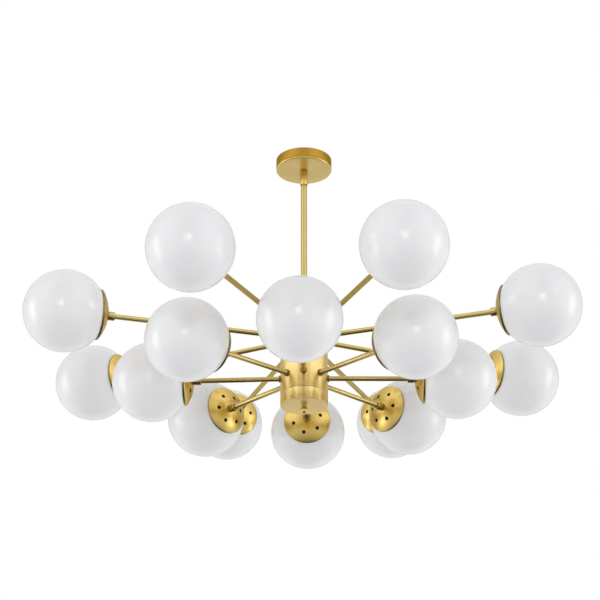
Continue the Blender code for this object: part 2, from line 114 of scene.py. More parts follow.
# Studio: brightness of what the metal mirrors, by height (the sine of the elevation), in front of the lamp,
# beside it and behind it, and the azimuths off the front where one gives way to the next
FRONT_TONES = (
    (-1.0, 0.05), (-0.8, 0.12), (-0.55, 0.55), (-0.3, 0.85),
    (0.0, 0.82), (0.41, 0.88), (0.75, 0.95), (1.0, 1.1),
)
SIDE_TONES = ((-1.0, 0.05), (-0.8, 0.12), (-0.55, 0.65), (0.0, 1.1), (0.25, 1.6), (0.75, 1.5), (1.0, 1.1))
BACK_TONES = (
    (-1.0, 0.05), (-0.8, 0.14), (-0.55, 0.82), (-0.35, 0.97),
    (0.0, 0.80), (0.41, 0.55), (0.75, 0.8), (1.0, 1.1),
)
FRONT_ENDS, SIDE_STARTS = math.radians(10), math.radians(38)
SIDE_ENDS, BACK_STARTS = math.radians(55), math.radians(115)

# Brightness of the light that the white surfaces gather, by height, and what is left of it in front
SOFT_TONES = ((-1.0, 0.83), (-0.5, 0.88), (0.0, 0.87), (0.5, 0.79), (1.0, 0.73))
FRONT_SOFTNESS = 0.60

# Two panels level with the lamp, one on each side, and a small round lamp in front of it
PANEL_AZIMUTH = math.radians(89)
PANEL_HALF_WIDTH = math.radians(6)
PANEL_EDGE = math.radians(10)
PANEL_FOOT = -0.22
PANEL_TOP = 0.22
PANEL_FADE = 0.18
PANEL_GLOW = 2.2
KEY_RADIUS = math.radians(4)
KEY_EDGE = math.radians(8)
KEY_GLOW = 4.0

# Floor under the lamp, which fades into the white behind it
FLOOR_HEIGHT = -2.6
FLOOR_RADIUS = 30.0
FADE_STARTS = 1.0
FADE_ENDS = 11.0

# Facets round a turned piece
FINE = 96
MEDIUM = 48
SMALL = 32
HUB_FACETS = 192
GLOBE_FACETS = 72
VENT_FACETS = 28

# Outlines: the angle from which a bend is left as part of a curve, and the most of an edge that a fillet takes
CURVE_ANGLE = math.radians(165)
FILLET_SHARE = 0.45
ON_AXIS = 1e-7

# Scale of the noise that makes the polishing lines: round a turned piece, and along a drawn tube
TURNED_LINES = 900.0
TURNED_DRIFT = 18.0
DRAWN_LINES = (1500.0, 1500.0, 14.0)


# ---------------------------------------------------------------- meshes

def fillet(points, radius, steps=4, closed=True):
    """A (r, z) outline with every corner off the axis rounded, as far as its edges allow."""
    out = []
    count = len(points)
    for i, point in enumerate(points):
        here = Vector(point)
        ends = not closed and i in (0, count - 1)
        if ends or radius <= 0:
            out.append(tuple(here))
            continue
        before = Vector(points[i - 1]) - here
        after = Vector(points[(i + 1) % count]) - here
        angle = before.angle(after, math.pi)
        if angle > CURVE_ANGLE:
            out.append(tuple(here))
            continue
        room = min(before.length, after.length) * FILLET_SHARE
        reach = min(radius / math.tan(angle / 2), room)
        start = here + before.normalized() * reach
        stop = here + after.normalized() * reach
        for step in range(steps + 1):
            t = step / steps
            out.append(tuple(start * (1 - t) ** 2 + here * 2 * t * (1 - t) + stop * t * t))
    return out


def lathe(name, profile, segments=MEDIUM, closed=True, sharp=40):
    """Mesh turned about Z from an outline that runs down its outer side."""
    shape = bmesh.new()
    columns = []
    for k in range(segments):
        turn = 2 * math.pi * k / segments
        ring = []
        for i, (r, z) in enumerate(profile):
            if r < ON_AXIS and k > 0:
                ring.append(columns[0][i])
            else:
                ring.append(shape.verts.new((r * math.cos(turn), r * math.sin(turn), z)))
        columns.append(ring)
    count = len(profile)
    bands = count if closed else count - 1
    for k in range(segments):
        one, two = columns[k], columns[(k + 1) % segments]
        for i in range(bands):
            j = (i + 1) % count
            corners = []
            for vert in (one[i], one[j], two[j], two[i]):
                if vert not in corners:
                    corners.append(vert)
            if len(corners) > 2:
                shape.faces.new(corners)
    return to_mesh(name, shape, sharp)


def to_mesh(name, shape, sharp=40):
    """Turn a bmesh into a smooth mesh whose edges stay sharp from the given angle on, in degrees."""
    mesh = bpy.data.meshes.new(name)
    bmesh.ops.recalc_face_normals(shape, faces=shape.faces)
    shape.to_mesh(mesh)
    shape.free()
    mesh.shade_smooth()
    mesh.set_sharp_from_angle(angle=math.radians(sharp))
    return mesh


def add_cylinder(shape, start, end, radius, segments):
    """A solid cylinder from one point to another."""
    start, end = Vector(start), Vector(end)
    along = end - start
    turn = Vector((0, 0, 1)).rotation_difference(along).to_matrix().to_4x4()
    bmesh.ops.create_cone(shape, cap_ends=True, segments=segments, radius1=radius, radius2=radius,
                          depth=along.length, matrix=Matrix.Translation((start + end) / 2) @ turn)


def add_box(shape, centre, size):
    """A solid box about a point."""
    bmesh.ops.create_cube(shape, size=1.0, matrix=Matrix.Translation(centre) @ Matrix.Diagonal((*size, 1.0)))


def cut(mesh, build, sharp=40):
    """The mesh with the shapes that build(bmesh) makes cut out of it."""
    shape = bmesh.new()
    build(shape)
    tool_mesh = bpy.data.meshes.new("cutter")
    shape.to_mesh(tool_mesh)
    shape.free()
    tool = bpy.data.objects.new("cutter", tool_mesh)
    work = bpy.data.objects.new("work", mesh)
    for item in (tool, work):
        bpy.context.scene.collection.objects.link(item)
    boolean = work.modifiers.new("cut", "BOOLEAN")
    boolean.operation = "DIFFERENCE"
    boolean.solver = "EXACT"
    boolean.object = tool
    graph = bpy.context.evaluated_depsgraph_get()
    made = bpy.data.meshes.new_from_object(work.evaluated_get(graph))
    made.name = mesh.name
    bpy.data.objects.remove(work)
    bpy.data.objects.remove(tool)
    made.shade_smooth()
    made.set_sharp_from_angle(angle=math.radians(sharp))
    return made


def piece(name, mesh, material, body="root", replaces=(), matrix=None):
    """Put a finished mesh in the scene, with the body it rides on and the nodes it replaces."""
    item = bpy.data.objects.new(name, mesh)
    bpy.context.scene.collection.objects.link(item)
    if matrix is not None:
        item.matrix_world = matrix
    if not mesh.materials:
        mesh.materials.append(material)
    bpy.context.view_layer.update()
    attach(item, body)
    if replaces:
        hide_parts(*replaces)
    return item


# ---------------------------------------------------------------- materials

class Nodes:
    """Shorthand for building a node tree."""

    def __init__(self, tree):
        self.tree = tree

    def add(self, kind, **settings):
        node = self.tree.nodes.new(kind)
        for key, value in settings.items():
            setattr(node, key, value)
        return node

    def link(self, source, target):
        self.tree.links.new(source, target)

    def maths(self, operation, one, two):
        node = self.add("ShaderNodeMath", operation=operation)
        for socket, value in zip(node.inputs, (one, two)):
            if isinstance(value, (int, float)):
                socket.default_value = value
            else:
                self.link(value, socket)
        return node.outputs[0]

    def noise(self, vector, scale, detail=3.0, roughness=0.55):
        node = self.add("ShaderNodeTexNoise")
        node.inputs["Scale"].default_value = scale
        node.inputs["Detail"].default_value = detail
        node.inputs["Roughness"].default_value = roughness
        self.link(vector, node.inputs["Vector"])
        return node.outputs["Fac"]

    def stretch(self, vector, scale):
        node = self.add("ShaderNodeMapping")
        node.inputs["Scale"].default_value = scale
        self.link(vector, node.inputs["Vector"])
        return node.outputs["Vector"]

    def between(self, value, low, high, out_low, out_high):
        node = self.add("ShaderNodeMapRange")
        limits = {"From Min": low, "From Max": high, "To Min": out_low, "To Max": out_high}
        for name, number in limits.items():
            node.inputs[name].default_value = number
        self.link(value, node.inputs["Value"])
        return node.outputs["Result"]

    def smooth(self, value, low, high, out_low, out_high):
        result = self.between(value, low, high, out_low, out_high)
        result.node.interpolation_type = "SMOOTHSTEP"
        return result

    def blend(self, factor, one, two):
        node = self.add("ShaderNodeMix", data_type="RGBA")
        self.link(factor, node.inputs["Factor"])
        for name, colour in (("A", one), ("B", two)):
            socket = [s for s in node.inputs if s.name == name and s.type == "RGBA"][0]
            if isinstance(colour, tuple):
                socket.default_value = (*colour, 1.0)
            else:
                self.link(colour, socket)
        return [s for s in node.outputs if s.type == "RGBA"][0]


class Finish(Nodes):
    """A new material, with its Principled shader at hand."""

    def __init__(self, name):
        self.material = bpy.data.materials.new(name)
        self.material.use_nodes = True
        super().__init__(self.material.node_tree)
        self.shader = self.tree.nodes["Principled BSDF"]

    def coordinates(self):
        return self.add("ShaderNodeTexCoord").outputs["Object"]

    def set(self, **sockets):
        for name, value in sockets.items():
            self.shader.inputs[name.replace("_", " ")].default_value = value

    def bump(self, height, strength, distance):
        node = self.add("ShaderNodeBump")
        node.inputs["Strength"].default_value = strength
        node.inputs["Distance"].default_value = distance
        self.link(height, node.inputs["Height"])
        self.link(node.outputs["Normal"], self.shader.inputs["Normal"])


def grain_round(make, coords):
    """Coordinates whose noise runs in lines round the object's Z axis, as turning leaves them."""
    split = make.add("ShaderNodeSeparateXYZ")
    make.link(coords, split.inputs[0])
    flat = make.add("ShaderNodeCombineXYZ")
    make.link(split.outputs["X"], flat.inputs["X"])
    make.link(split.outputs["Y"], flat.inputs["Y"])
    length = make.add("ShaderNodeVectorMath", operation="LENGTH")
    make.link(flat.outputs[0], length.inputs[0])
    joined = make.add("ShaderNodeCombineXYZ")
    make.link(make.maths("MULTIPLY", length.outputs["Value"], TURNED_LINES), joined.inputs["X"])
    make.link(make.maths("MULTIPLY", split.outputs["Z"], TURNED_LINES), joined.inputs["Y"])
    make.link(make.maths("MULTIPLY", split.outputs["X"], TURNED_DRIFT), joined.inputs["Z"])
    return joined.outputs[0]


def brass(name, colour, shadow, roughness, grain="round", anisotropy=0.1, bump=0.03, lacquer=0.8, toned=0.4,
          lined=0.25, edge=(0.90, 0.76, 0.45)):
    """Lacquered brass with fine polishing lines, slight toning and handling marks.

    The lines run round the object's axis or along it. Toned and lined say how much of the shadow colour the
    toning and the lines bring in, and edge is the metal's tint at grazing angles.
    """
    make = Finish(name)
    coords = make.coordinates()
    if grain == "round":
        lines = make.noise(grain_round(make, coords), scale=1.0, detail=4.0, roughness=0.7)
    else:
        lines = make.noise(make.stretch(coords, DRAWN_LINES), scale=1.0, roughness=0.65)
    toning = make.noise(coords, scale=14.0)
    marks = make.noise(coords, scale=120.0, detail=5.0, roughness=0.7)
    tone = make.between(toning, 0.35, 0.7, 0.0, toned)
    base = make.blend(tone, colour, shadow)
    streaked = make.blend(make.between(lines, 0.3, 0.75, 0.0, lined), base, shadow)
    make.link(streaked, make.shader.inputs["Base Color"])
    rough = make.between(lines, 0.25, 0.75, roughness - 0.05, roughness + 0.06)
    smudged = make.maths("ADD", rough, make.between(marks, 0.5, 0.8, 0.0, 0.04))
    make.link(smudged, make.shader.inputs["Roughness"])
    make.set(Metallic=1.0, Anisotropic=anisotropy, Coat_Weight=lacquer, Coat_Roughness=0.12)
    make.set(Specular_Tint=(*edge, 1.0))
    make.bump(lines, bump, distance=0.15 * MM)
    return make.material


def opal_glass(name, glow=0.0):
    """Cased opal glass: milk white, fire polished and faintly wavy. Its glow is painted light, standing in for
    light let through.
    """
    make = Finish(name)
    coords = make.coordinates()
    cloud = make.noise(coords, scale=22.0)
    waves = make.noise(coords, scale=9.0, detail=2.0)
    dust = make.noise(coords, scale=260.0, detail=4.0, roughness=0.7)
    base = make.blend(make.between(cloud, 0.3, 0.7, 0.0, 1.0), (0.922, 0.924, 0.940), (0.893, 0.895, 0.915))
    make.link(base, make.shader.inputs["Base Color"])
    clouded = make.between(cloud, 0.3, 0.7, 0.20, 0.25)
    rough = make.maths("ADD", clouded, make.between(dust, 0.5, 0.8, 0.0, 0.05))
    make.link(rough, make.shader.inputs["Roughness"])
    make.set(IOR=1.5, Subsurface_Weight=0.25, Subsurface_Radius=(0.6, 0.6, 0.6), Subsurface_Scale=4.0 * MM)
    make.set(Coat_Weight=0.3, Coat_Roughness=0.10, Emission_Color=(0.95, 0.95, 0.94, 1.0))
    make.link(make.between(cloud, 0.3, 0.7, glow, glow * 0.9), make.shader.inputs["Emission Strength"])
    make.bump(waves, strength=0.25, distance=0.8 * MM)
    return make.material


def speckled(name, colour, second, roughness, metallic, scale):
    """A plain material with a fine mottle in its colour, its gloss and its surface."""
    make = Finish(name)
    coords = make.coordinates()
    mottle = make.noise(coords, scale, detail=5.0, roughness=0.65)
    grain = make.noise(coords, scale * 9.0)
    base = make.blend(make.between(mottle, 0.35, 0.7, 0.0, 1.0), colour, second)
    make.link(base, make.shader.inputs["Base Color"])
    rough = make.between(mottle, 0.3, 0.7, roughness - 0.08, roughness + 0.08)
    make.link(rough, make.shader.inputs["Roughness"])
    make.set(Metallic=metallic)
    make.bump(grain, strength=0.15, distance=0.1 * MM)
    return make.material


def frosted_lamp_glass(name):
    """Half-clear glass with an etched surface."""
    make = Finish(name)
    coords = make.coordinates()
    frost = make.noise(coords, scale=400.0, detail=4.0, roughness=0.7)
    make.link(make.between(frost, 0.3, 0.7, 0.22, 0.38), make.shader.inputs["Roughness"])
    make.set(Base_Color=(0.96, 0.96, 0.95, 1.0), IOR=1.47, Transmission_Weight=0.55)
    make.bump(frost, strength=0.08, distance=0.05 * MM)
    return make.material


# Satin is on the rod and the arms, brushed on the hub, polished on the caps and the collar. The flat ends of
# the hub and the canopy are turned. The arms' fittings are darkened where they meet the hub and the cap and in
# the collars' mouths, and the caps on their rims: painted shade of the gaps and hollows there.
satin = brass("satin_brass", (0.53, 0.415, 0.15), (0.45, 0.325, 0.09), roughness=0.22, grain="long",
              anisotropy=0.0, lacquer=0.3, lined=0.15)
brushed = brass("brushed_brass", (0.86, 0.67, 0.27), (0.73, 0.53, 0.16), roughness=0.29, bump=0.10,
                lacquer=0.7, toned=0.3, lined=0.2)
polished = brass("polished_brass", (0.69, 0.495, 0.13), (0.60, 0.41, 0.09), roughness=0.31, bump=0.02,
                 lacquer=0.5, toned=0.15, lined=0.10)
finial_brass = brass("finial_brass", (0.88, 0.67, 0.23), (0.76, 0.55, 0.15), roughness=0.42, anisotropy=0.0,
                     lacquer=0.2, toned=0.2, lined=0.1)
# The canopy's side is a darker, deeper copy of the same brass: painted shade
canopy_side_shade_brass = brass("canopy_side_shade_brass", (0.42, 0.232, 0.028), (0.35, 0.19, 0.020), roughness=0.36, bump=0.06,
                     lacquer=0.1)
face_brass = brass("turned_face_brass", (0.80, 0.62, 0.24), (0.72, 0.53, 0.19), roughness=0.38, bump=0.08,
                   lacquer=0.15, edge=(1.0, 0.98, 0.92))
# Dark brass for the arms' flange, collar neck and collar mouth: painted shade of the gaps and the recess
gap_shade_brass = brass("gap_shade_brass", (0.30, 0.195, 0.055), (0.20, 0.125, 0.03), roughness=0.34, bump=0.05,
                    lacquer=0.2)
# Dark brass on the caps' rolled rims: painted shade of the gap between cap and globe
rim_shade_brass = brass("rim_shade_brass", (0.27, 0.205, 0.085), (0.18, 0.135, 0.05), roughness=0.30, lacquer=0.5,
                  toned=0.3, lined=0.2)
opal = opal_glass("opal_glass")
# The globes' inner side glows: painted light for the light that the opal lets through
opal_inside = opal_glass("opal_glass_inside", glow=0.12)
zinc = speckled("zinc_steel", (0.60, 0.61, 0.63), (0.45, 0.46, 0.47),
                roughness=0.36, metallic=1.0, scale=160.0)
# Near-black steel for the globe clips; on their plate it also paints the shade seen through the vents
blackened_vent_shade = speckled("blackened_steel", (0.020, 0.020, 0.021), (0.035, 0.034, 0.033),
                     roughness=0.55, metallic=0.6, scale=200.0)
ceramic = speckled("white_ceramic", (0.86, 0.85, 0.81), (0.80, 0.79, 0.75),
                   roughness=0.38, metallic=0.0, scale=300.0)
lamp_glass = frosted_lamp_glass("lamp_glass")


# ---------------------------------------------------------------- ceiling end and hub

def top_of(node):
    """Height of a CAD node's highest point."""
    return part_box(node)[1].z


def foot_of(node):
    """Height of a CAD node's lowest point."""
    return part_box(node)[0].z


def build_canopy():
    """Shallow spun cup with a groove near its foot, open at the ceiling."""
    top, foot = top_of("canopy"), foot_of("canopy")
    inner = CANOPY_RADIUS - CANOPY_WALL
    lip = foot + 4.0 * MM
    groove_width, groove_depth = 0.9 * MM, 0.5 * MM
    outline = [
        (inner, top),
        (CANOPY_RADIUS, top),
        (CANOPY_RADIUS, lip + groove_width),
        (CANOPY_RADIUS - groove_depth, lip + groove_width / 2),
        (CANOPY_RADIUS, lip),
        (CANOPY_RADIUS, foot + 2.0 * MM),
        (CANOPY_RADIUS - 0.7 * MM, foot + 0.7 * MM),
        (CANOPY_RADIUS - 2.0 * MM, foot),
        (CANOPY_BORE, foot),
        (CANOPY_BORE, foot + CANOPY_WALL),
        (inner, foot + CANOPY_WALL),
    ]
    mesh = lathe("canopy_shell", fillet(outline, 0.7 * MM), FINE)
    # The side takes the darker copy of the brass, painted shade; the underside takes the turned face
    piece("canopy_shell", mesh, canopy_side_shade_brass, "canopy", ["canopy"])
    mesh.materials.append(face_brass)
    for face in mesh.polygons:
        if face.normal.z < -0.2 and face.center.z < lip - 1.0 * MM:
            face.material_index = 1


def build_canopy_collar():
    """Ring on the rod under the canopy, and the slotted screw at its back that locks it."""
    top, foot = top_of("canopy_collar"), foot_of("canopy_collar")
    radius, screw_hole = 7.5 * MM, 1.8 * MM
    outline = [(CANOPY_BORE, top), (radius, top), (radius, foot), (CANOPY_BORE, foot)]
    ring = lathe("canopy_collar_ring", fillet(outline, 0.8 * MM), MEDIUM)
    screw_low, screw_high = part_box("collar_screw")
    z = (screw_low.z + screw_high.z) / 2

    def hole_for_screw(shape):
        add_cylinder(shape, (0, 0, z), (0, 2 * radius, z), screw_hole, SMALL)

    ring = cut(ring, hole_for_screw)
    piece("canopy_collar_ring", ring, polished, "canopy", ["canopy_collar"])

    tip, back = screw_low.y, screw_high.y
    shank, head, head_length = 1.5 * MM, 2.6 * MM, 2.0 * MM
    seat = back - head_length
    outline = [(0, back), (head, back), (head, seat), (shank, seat), (shank, tip), (0, tip)]
    screw = lathe("collar_grub_screw", fillet(outline, 0.4 * MM, closed=False), SMALL, closed=False)

    def slot_in_head(shape):
        add_box(shape, (0, 0, back), (8 * MM, 0.8 * MM, 1.6 * MM))

    screw = cut(screw, slot_in_head)
    place = Matrix.Translation((0, 0, z)) @ Matrix.Rotation(-math.pi / 2, 4, "X")
    piece("collar_grub_screw", screw, polished, "canopy", ["collar_screw"], place)


def build_down_rod():
    """Tube that steps down to its threads above the lock nut and inside the hub."""
    top, foot = top_of("down_rod"), foot_of("down_rod")
    shoulder = foot_of("rod_lock_nut") - GAP
    hub_top = top_of("hub_body") + GAP
    bore = 3.5 * MM
    outline = [
        (bore, top), (ROD_THREAD_RADIUS, top), (ROD_THREAD_RADIUS, shoulder), (ROD_RADIUS, shoulder),
        (ROD_RADIUS, hub_top), (ROD_THREAD_RADIUS, hub_top), (ROD_THREAD_RADIUS, foot), (bore, foot),
    ]
    mesh = lathe("down_rod_tube", fillet(outline, BROKEN_EDGE), MEDIUM)
    piece("down_rod_tube", mesh, satin, "root", ["down_rod"])


def give_face(mesh, upwards):
    """Lay the turned face's finish on one flat end of a drum: upwards is 1 for the top, -1 for the foot."""
    mesh.materials.append(face_brass)
    for face in mesh.polygons:
        if face.normal.z * upwards > 0.9:
            face.material_index = 1


def build_hub():
    """Drum with a hole for every arm, and the cup that closes it from below."""
    top, seam = top_of("hub_body"), foot_of("hub_body")
    inner = HUB_RADIUS - HUB_WALL
    under = top - 3.0 * MM
    rod_hole = 5.3 * MM
    corner = 0.8 * MM
    outline = [
        (rod_hole, top), (HUB_RADIUS, top), (HUB_RADIUS, seam),
        (inner, seam), (inner, under), (rod_hole, under),
    ]
    body = lathe("hub_housing", fillet(outline, corner), HUB_FACETS)

    def arm_holes(shape):
        radius = ARM_RADIUS + 0.45 * MM
        for arm in arms:
            start = arm["root"] + arm["out"] * (inner - 6 * MM)
            end = arm["root"] + arm["out"] * (HUB_RADIUS + 3 * MM)
            add_cylinder(shape, start, end, radius, SMALL)

    body = cut(body, arm_holes)
    piece("hub_housing", body, brushed, "root", ["hub_body"])
    give_face(body, 1)

    spigot = inner - 0.45 * MM
    spigot_top = top_of("hub_lower_cover")
    cover_top = seam - GAP
    floor = foot_of("hub_lower_cover")
    floor_thickness = 2.5 * MM
    stud_hole = 3.3 * MM
    outline = [
        (spigot - HUB_WALL, spigot_top),
        (spigot, spigot_top),
        (spigot, cover_top),
        (HUB_RADIUS, cover_top),
        (HUB_RADIUS, floor),
        (stud_hole, floor),
        (stud_hole, floor + floor_thickness),
        (spigot - HUB_WALL, floor + floor_thickness),
    ]
    cover = lathe("hub_bottom_cup", fillet(outline, corner), HUB_FACETS)
    piece("hub_bottom_cup", cover, brushed, "root", ["hub_lower_cover"])
    give_face(cover, -1)


def build_finial():
    """Ball on a short neck, bored for the stud."""
    top, foot = top_of("bottom_finial"), foot_of("bottom_finial")
    ball, neck = 7.0 * MM, 4.5 * MM
    bore, bore_depth = 3.2 * MM, 8.8 * MM
    shoulder = neck + 0.6 * MM
    centre = foot + ball
    start = math.asin(neck / ball)
    steps = 24
    turns = (start + (math.pi - start) * i / steps for i in range(steps + 1))
    arc = [(ball * math.sin(turn), centre + ball * math.cos(turn)) for turn in turns]
    arc[-1] = (0, foot)
    outline = [
        (0, top - bore_depth), (bore, top - bore_depth), (bore, top), (shoulder, top),
        (shoulder, top - 0.8 * MM), (neck, top - 1.2 * MM), *arc,
    ]
    mesh = lathe("finial_ball", outline, MEDIUM, closed=False, sharp=55)
    piece("finial_ball", mesh, finial_brass, "root", ["bottom_finial"])


def build_hidden_hardware():
    """The parts inside the canopy and the hub: copies of the CAD's shapes, with broken edges and finishes."""
    parts = (
        ("ceiling_bracket", "bracket_strip", zinc, "zinc_steel"),
        ("rod_lock_nut", "rod_locking_nut", zinc, "zinc_steel"),
        ("hub_coupling_nut", "hub_coupling", zinc, "zinc_steel"),
        ("centre_stud", "hub_stud", zinc, "zinc_steel"),
        ("terminal_block", "supply_terminal_block", ceramic, "white_ceramic"),
    )
    for node, name, material, slot in parts:
        mesh = frame["nodes"][node].data.copy()
        mesh.materials.clear()
        item = piece(name, mesh, material, "root", [node])
        bevel = item.modifiers.new("broken edges", "BEVEL")
        bevel.width = BROKEN_EDGE
        bevel.segments = 2
        bevel.limit_method = "ANGLE"
        bevel.angle_limit = math.radians(50)


# ---------------------------------------------------------------- arms, caps, globes

def read_arms():
    """Axis, reach and body of every arm, from the joints and the CAD arms and globes."""
    found = []
    for joint in frame["joints"]:
        if not joint["child"].startswith("globe_"):
            continue
        label = joint["child"].removeprefix("globe_")
        out = Vector(joint["axis"]).normalized()
        tube = frame["nodes"]["arm_" + label].data.vertices
        middle = sum((vert.co for vert in tube), Vector()) / len(tube)
        level = math.hypot(out.x, out.y)
        root = Vector((0, 0, middle.z - out.z * math.hypot(middle.x, middle.y) / level))
        globe = frame["nodes"]["globe_" + label].data.vertices
        reach = max((vert.co - root).dot(out) for vert in globe) - GLOBE_RADIUS
        azimuth, droop = math.atan2(out.x, -out.y), math.asin(-out.z)
        turn = Matrix.Rotation(azimuth, 4, "Z") @ Matrix.Rotation(math.pi / 2 + droop, 4, "X")
        found.append({"label": label, "out": out, "root": root, "reach": reach, "body": joint["child"],
                      "place": Matrix.Translation(root) @ turn})
    return found


def arm_mesh(name, reach):
    """Tube with its flange at the hub and its collar at the cap. z is the distance from the lamp's axis."""
    back = reach - CAP_OUTER_RADIUS - GAP
    tip = back + 6 * MM
    start = back - COLLAR_LENGTH
    neck, neck_length = COLLAR_RADIUS - 0.9 * MM, 1.0 * MM
    mouth, mouth_depth = ARM_RADIUS + 1.2 * MM, 2.6 * MM
    wall = HUB_RADIUS + GAP
    flange = wall + FLANGE_LENGTH
    nut = HUB_RADIUS - HUB_WALL - 1.1 * MM
    outline = [
        (ARM_BORE, tip),
        (ARM_RADIUS, tip),
        (ARM_RADIUS, back + 0.1 * MM),
        (neck, back - 0.2 * MM),
        (neck, back - neck_length),
        (COLLAR_RADIUS, back - neck_length - 0.2 * MM),
        (COLLAR_RADIUS, start + 0.7 * MM),
        (COLLAR_RADIUS - 0.7 * MM, start),
        (mouth, start),
        (mouth, start + mouth_depth),
        (ARM_RADIUS, start + mouth_depth),
        (ARM_RADIUS, flange),
        (FLANGE_RADIUS - 0.4 * MM, flange),
        (FLANGE_RADIUS, flange - 0.5 * MM),
        (FLANGE_RADIUS, wall),
        (ARM_RADIUS, wall),
        (ARM_RADIUS, nut),
        (ARM_NUT_RADIUS, nut),
        (ARM_NUT_RADIUS, nut - ARM_NUT_LENGTH),
        (ARM_BORE, nut - ARM_NUT_LENGTH),
    ]
    mesh = lathe(name, fillet(outline, BROKEN_EDGE, 2), SMALL)
    mesh.materials.append(satin)
    mesh.materials.append(gap_shade_brass)
    # The flange, the collar's neck and the collar's mouth take the dark brass: painted shade of the gap at the
    # hub wall, the gap at the cap and the recess
    slack = 0.1 * MM
    for face in mesh.polygons:
        z = face.center.z
        width = math.hypot(face.center.x, face.center.y)
        off_tube = width > ARM_RADIUS + 2 * slack
        at_flange = off_tube and wall - slack < z < flange + slack
        at_neck = off_tube and back - neck_length - slack < z < back + 2 * slack
        in_mouth = width < mouth + slack and start + 0.6 * MM < z < start + 3 * MM
        if at_flange or at_neck or in_mouth:
            face.material_index = 1
    return mesh


def back_arc(radius, r_from, r_to, steps=18):
    """Outline along the back of a sphere about the origin, from one distance off the axis to another."""
    for i in range(steps + 1):
        r = r_from + (r_to - r_from) * i / steps
        yield (r, -math.sqrt(radius * radius - r * r))


def cap_mesh():
    """Spun dish with a rolled rim, painted darker as shade, and six vents. Its origin is the globe's centre.
    """
    hole = ARM_RADIUS + GAP
    rim_in = CAP_RIM_RADIUS - 0.9 * MM
    outside = list(back_arc(CAP_OUTER_RADIUS, CAP_RIM_RADIUS - 0.3 * MM, hole))
    inside = list(back_arc(CAP_INNER_RADIUS, hole, rim_in))
    edge_r, edge_z = outside[0]
    roll = (
        (0.35, 0.4), (0.6, 1.0), (0.7, 1.9), (0.6, 2.8),
        (0.2, 3.5), (-0.4, 3.6), (-0.9, 3.1), (-1.0, 2.2),
    )
    rim = [(edge_r + r * MM, edge_z + z * MM) for r, z in reversed(roll)]
    mesh = lathe("cap_dish", inside + rim + outside, FINE, sharp=50)

    def vents(shape):
        tilt = math.asin(VENT_PITCH_RADIUS / CAP_INNER_RADIUS)
        start, end = CAP_INNER_RADIUS - 5 * MM, CAP_OUTER_RADIUS + 5 * MM
        for i in range(VENT_COUNT):
            around = i * 2 * math.pi / VENT_COUNT
            x, y = math.sin(tilt) * math.cos(around), math.sin(tilt) * math.sin(around)
            out = Vector((x, y, -math.cos(tilt)))
            add_cylinder(shape, out * start, out * end, VENT_RADIUS, VENT_FACETS)

    dish = cut(mesh, vents, sharp=30)
    dish.materials.clear()
    dish.materials.append(polished)
    dish.materials.append(rim_shade_brass)
    # The rim's faces take the dark brass: painted shade
    for face in dish.polygons:
        if face.center.z > edge_z + 0.3 * MM and math.hypot(face.center.x, face.center.y) > rim_in:
            face.material_index = 1
    return dish


def lampholder_mesh():
    """Two-pin ceramic holder on the dish's inner side."""
    base = -CAP_INNER_RADIUS + 0.2 * MM
    tip = -CAP_INNER_RADIUS + HOLDER_LENGTH
    head = HOLDER_RADIUS - 0.6 * MM
    wire_hole, wire_hole_depth = 5.1 * MM, 7 * MM
    outline = [
        (0, tip),
        (head - 0.3 * MM, tip),
        (head, tip - 8 * MM),
        (HOLDER_RADIUS, tip - 9 * MM),
        (HOLDER_RADIUS, base + 5 * MM),
        (HOLDER_RADIUS, base + 1.0 * MM),
        (wire_hole, base + 0.6 * MM),
        (wire_hole, base + wire_hole_depth),
        (0, base + wire_hole_depth),
    ]
    mesh = lathe("lampholder", fillet(outline, 0.5 * MM, closed=False), SMALL, closed=False)

    def slots(shape):
        for x in (-4.5 * MM, 4.5 * MM):
            add_box(shape, (x, 0, tip), (2.2 * MM, 4.4 * MM, 8 * MM))

    return cut(mesh, slots)


def bmesh_ring(shape, sphere, r, segments):
    """Ring of vertices of radius r on the back of a sphere about the origin."""
    z = -math.sqrt(sphere * sphere - r * r)
    turns = (2 * math.pi * k / segments for k in range(segments))
    return [shape.verts.new((r * math.cos(turn), r * math.sin(turn), z)) for turn in turns]


def add_clip_plate(shape):
    """Dished washer that the prongs stand on."""
    steps = 8
    spread = PLATE_RIM - PLATE_HOLE
    back = [(PLATE_RADIUS, PLATE_HOLE + spread * i / steps) for i in range(steps + 1)]
    front = [(PLATE_RADIUS - PLATE_THICKNESS, PLATE_RIM - spread * i / steps) for i in range(steps + 1)]
    rings = [bmesh_ring(shape, sphere, r, FINE) for sphere, r in back + front]
    for one, two in zip(rings, rings[1:] + rings[:1]):
        for k in range(FINE):
            shape.faces.new((one[k], one[(k + 1) % FINE], two[(k + 1) % FINE], two[k]))


def add_prong(shape, turn):
    """Strip along a path of (r, z) points in millimetres, bent to bear on the inside of the globe's mouth."""
    width, thick, tip_width = 7.0 * MM, 0.5 * MM, 0.7
    bends = (
        (9.9, -73.6), (14, -73.9), (20, -72.6), (26, -70.2), (30.0, -68.0),
        (32.3, -65.5), (33.1, -62.4), (32.8, -59.0), (31.4, -55.5),
    )
    path = [Vector((r * MM, 0, z * MM)) for r, z in bends]
    last = len(path) - 1
    rows = []
    for i, point in enumerate(path):
        ahead = path[min(i + 1, last)] - path[max(i - 1, 0)]
        normal = Vector((-ahead.z, 0, ahead.x)).normalized() * thick / 2
        side = Vector((0, width / 2 * (1.0 if i < last else tip_width), 0))
        corners = (point + normal + side, point + normal - side, point - normal - side, point - normal + side)
        rows.append([shape.verts.new(turn @ corner) for corner in corners])
    for one, two in zip(rows, rows[1:]):
        for i in range(4):
            shape.faces.new((one[i], one[(i + 1) % 4], two[(i + 1) % 4], two[i]))
    shape.faces.new(rows[0])
    shape.faces.new(rows[-1])


